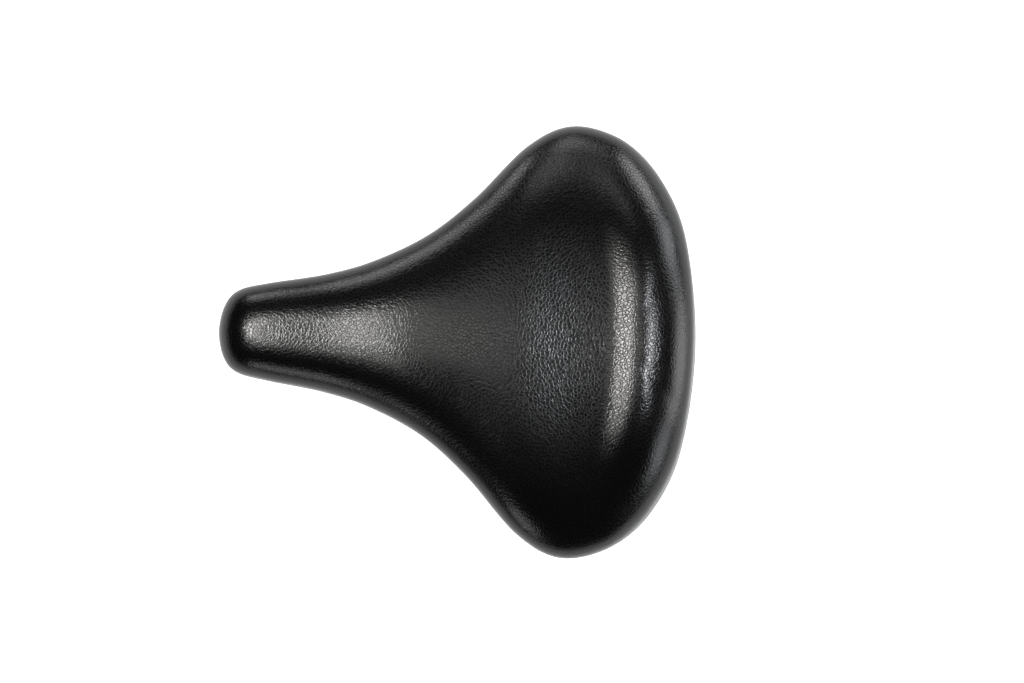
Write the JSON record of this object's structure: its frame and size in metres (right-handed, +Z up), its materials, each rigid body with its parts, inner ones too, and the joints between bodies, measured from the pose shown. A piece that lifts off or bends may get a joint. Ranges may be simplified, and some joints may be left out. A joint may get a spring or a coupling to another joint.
{
  "type": "bicycle saddle",
  "caption": "Wide sprung comfort saddle with a vinyl cover on foam, a moulded shell, coil springs at the rear, wire rails and a serrated seat post clamp.",
  "frame": {"origin": "centre of the seat post clamp's bore, on its axis, halfway up the collar", "axes": "+X towards the nose of the saddle, +Y to the rider's left, +Z up; the seat post's axis lies along Z and the rails along X"},
  "size_m": [0.255, 0.232, 0.1218],
  "materials": {
    "vinyl": "satin",
    "foam": "matte",
    "shell_plastic": "matte",
    "black_steel": "satin",
    "spring_chrome": "polished",
    "zinc_steel": "satin"
  },
  "bodies": {
    "post_clamp": {"post_collar": "zinc_steel"},
    "cradle": {"cradle_inner_left": "zinc_steel", "cradle_inner_right": "zinc_steel", "cradle_outer_left": "zinc_steel", "cradle_outer_right": "zinc_steel", "clamp_bolt": "zinc_steel", "clamp_nut": "zinc_steel", "clamp_washers": "zinc_steel"},
    "chassis": {"rail_frame": "black_steel", "lower_bridge": "black_steel", "weld_beads": "black_steel", "spring_left": "spring_chrome", "spring_right": "spring_chrome", "lower_spring_cups": "zinc_steel", "lower_spring_bolts": "zinc_steel", "lower_spring_nuts": "zinc_steel"},
    "seat": {"base_shell": "shell_plastic", "foam_pad": "foam", "cover": "vinyl", "cover_staples": "zinc_steel", "upper_bridge": "black_steel", "bridge_screws": "zinc_steel", "upper_spring_cups": "zinc_steel", "upper_spring_bolts": "zinc_steel", "upper_spring_nuts": "zinc_steel", "nose_socket": "zinc_steel", "socket_screws": "zinc_steel", "nose_keeper": "zinc_steel", "keeper_screws": "zinc_steel"}
  },
  "joints": [
    {"name": "clamp_tilt", "type": "hinge", "parent": "post_clamp", "child": "cradle", "pos_m": [-0.024, 0, 0], "axis": [0, 1, 0], "range_deg": [-15, 15]},
    {"name": "fore_aft", "type": "slide", "parent": "cradle", "child": "chassis", "axis": [1, 0, 0], "range_m": [-0.015, 0.015]},
    {"name": "seat_suspension", "type": "hinge", "parent": "chassis", "child": "seat", "pos_m": [0.098, 0, 0.064], "axis": [0, -1, 0], "range_deg": [0, 6.5], "stiffness_Nm_per_rad": 1900, "deforming": ["spring_left", "spring_right"]}
  ]
}
